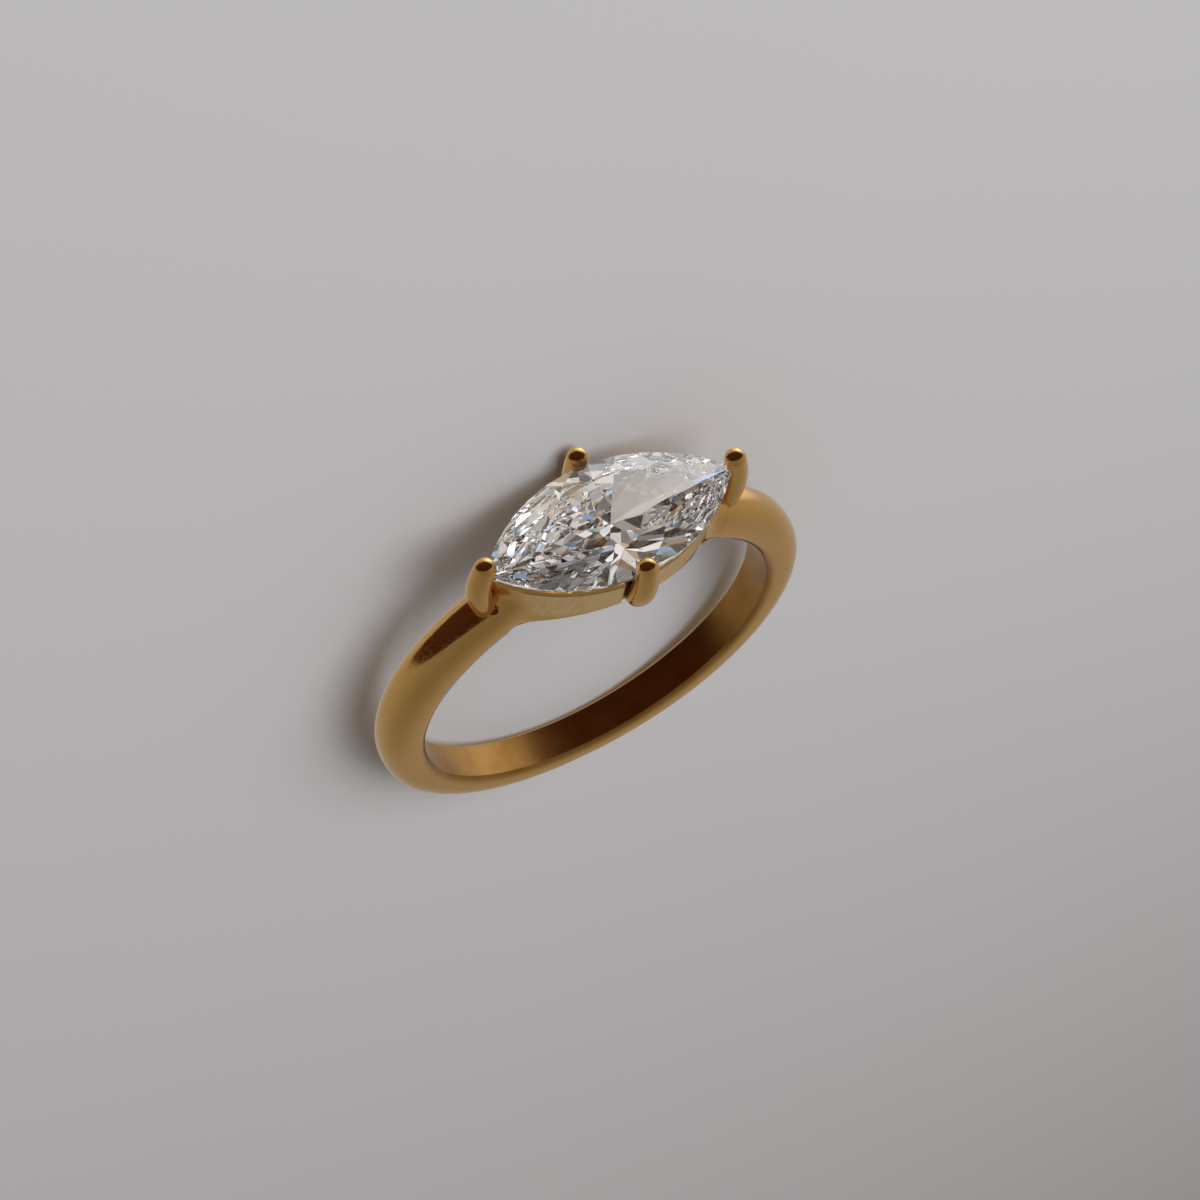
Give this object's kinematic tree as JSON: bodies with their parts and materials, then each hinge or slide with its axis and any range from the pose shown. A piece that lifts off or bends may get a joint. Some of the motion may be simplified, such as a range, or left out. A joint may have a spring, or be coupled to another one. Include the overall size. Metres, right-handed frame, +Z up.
{
  "type": "marquise ring",
  "caption": "Finger ring in polished yellow metal: a rounded band with a low open basket whose prongs hold one long, pointed, faceted clear stone",
  "frame": {"origin": "middle of the foot of the ring's bounding box, on the surface that the ring lies on", "axes": "+Z up from that surface, +Y from the stone across the finger hole to the far side of the band, +X along the stone"},
  "size_m": [0.02, 0.0216, 0.0067],
  "materials": {
    "gold": "polished",
    "clear_stone": "polished facets"
  },
  "bodies": {
    "root": {"gold_ring": "gold", "marquise_stone": "clear_stone"}
  },
  "joints": []
}
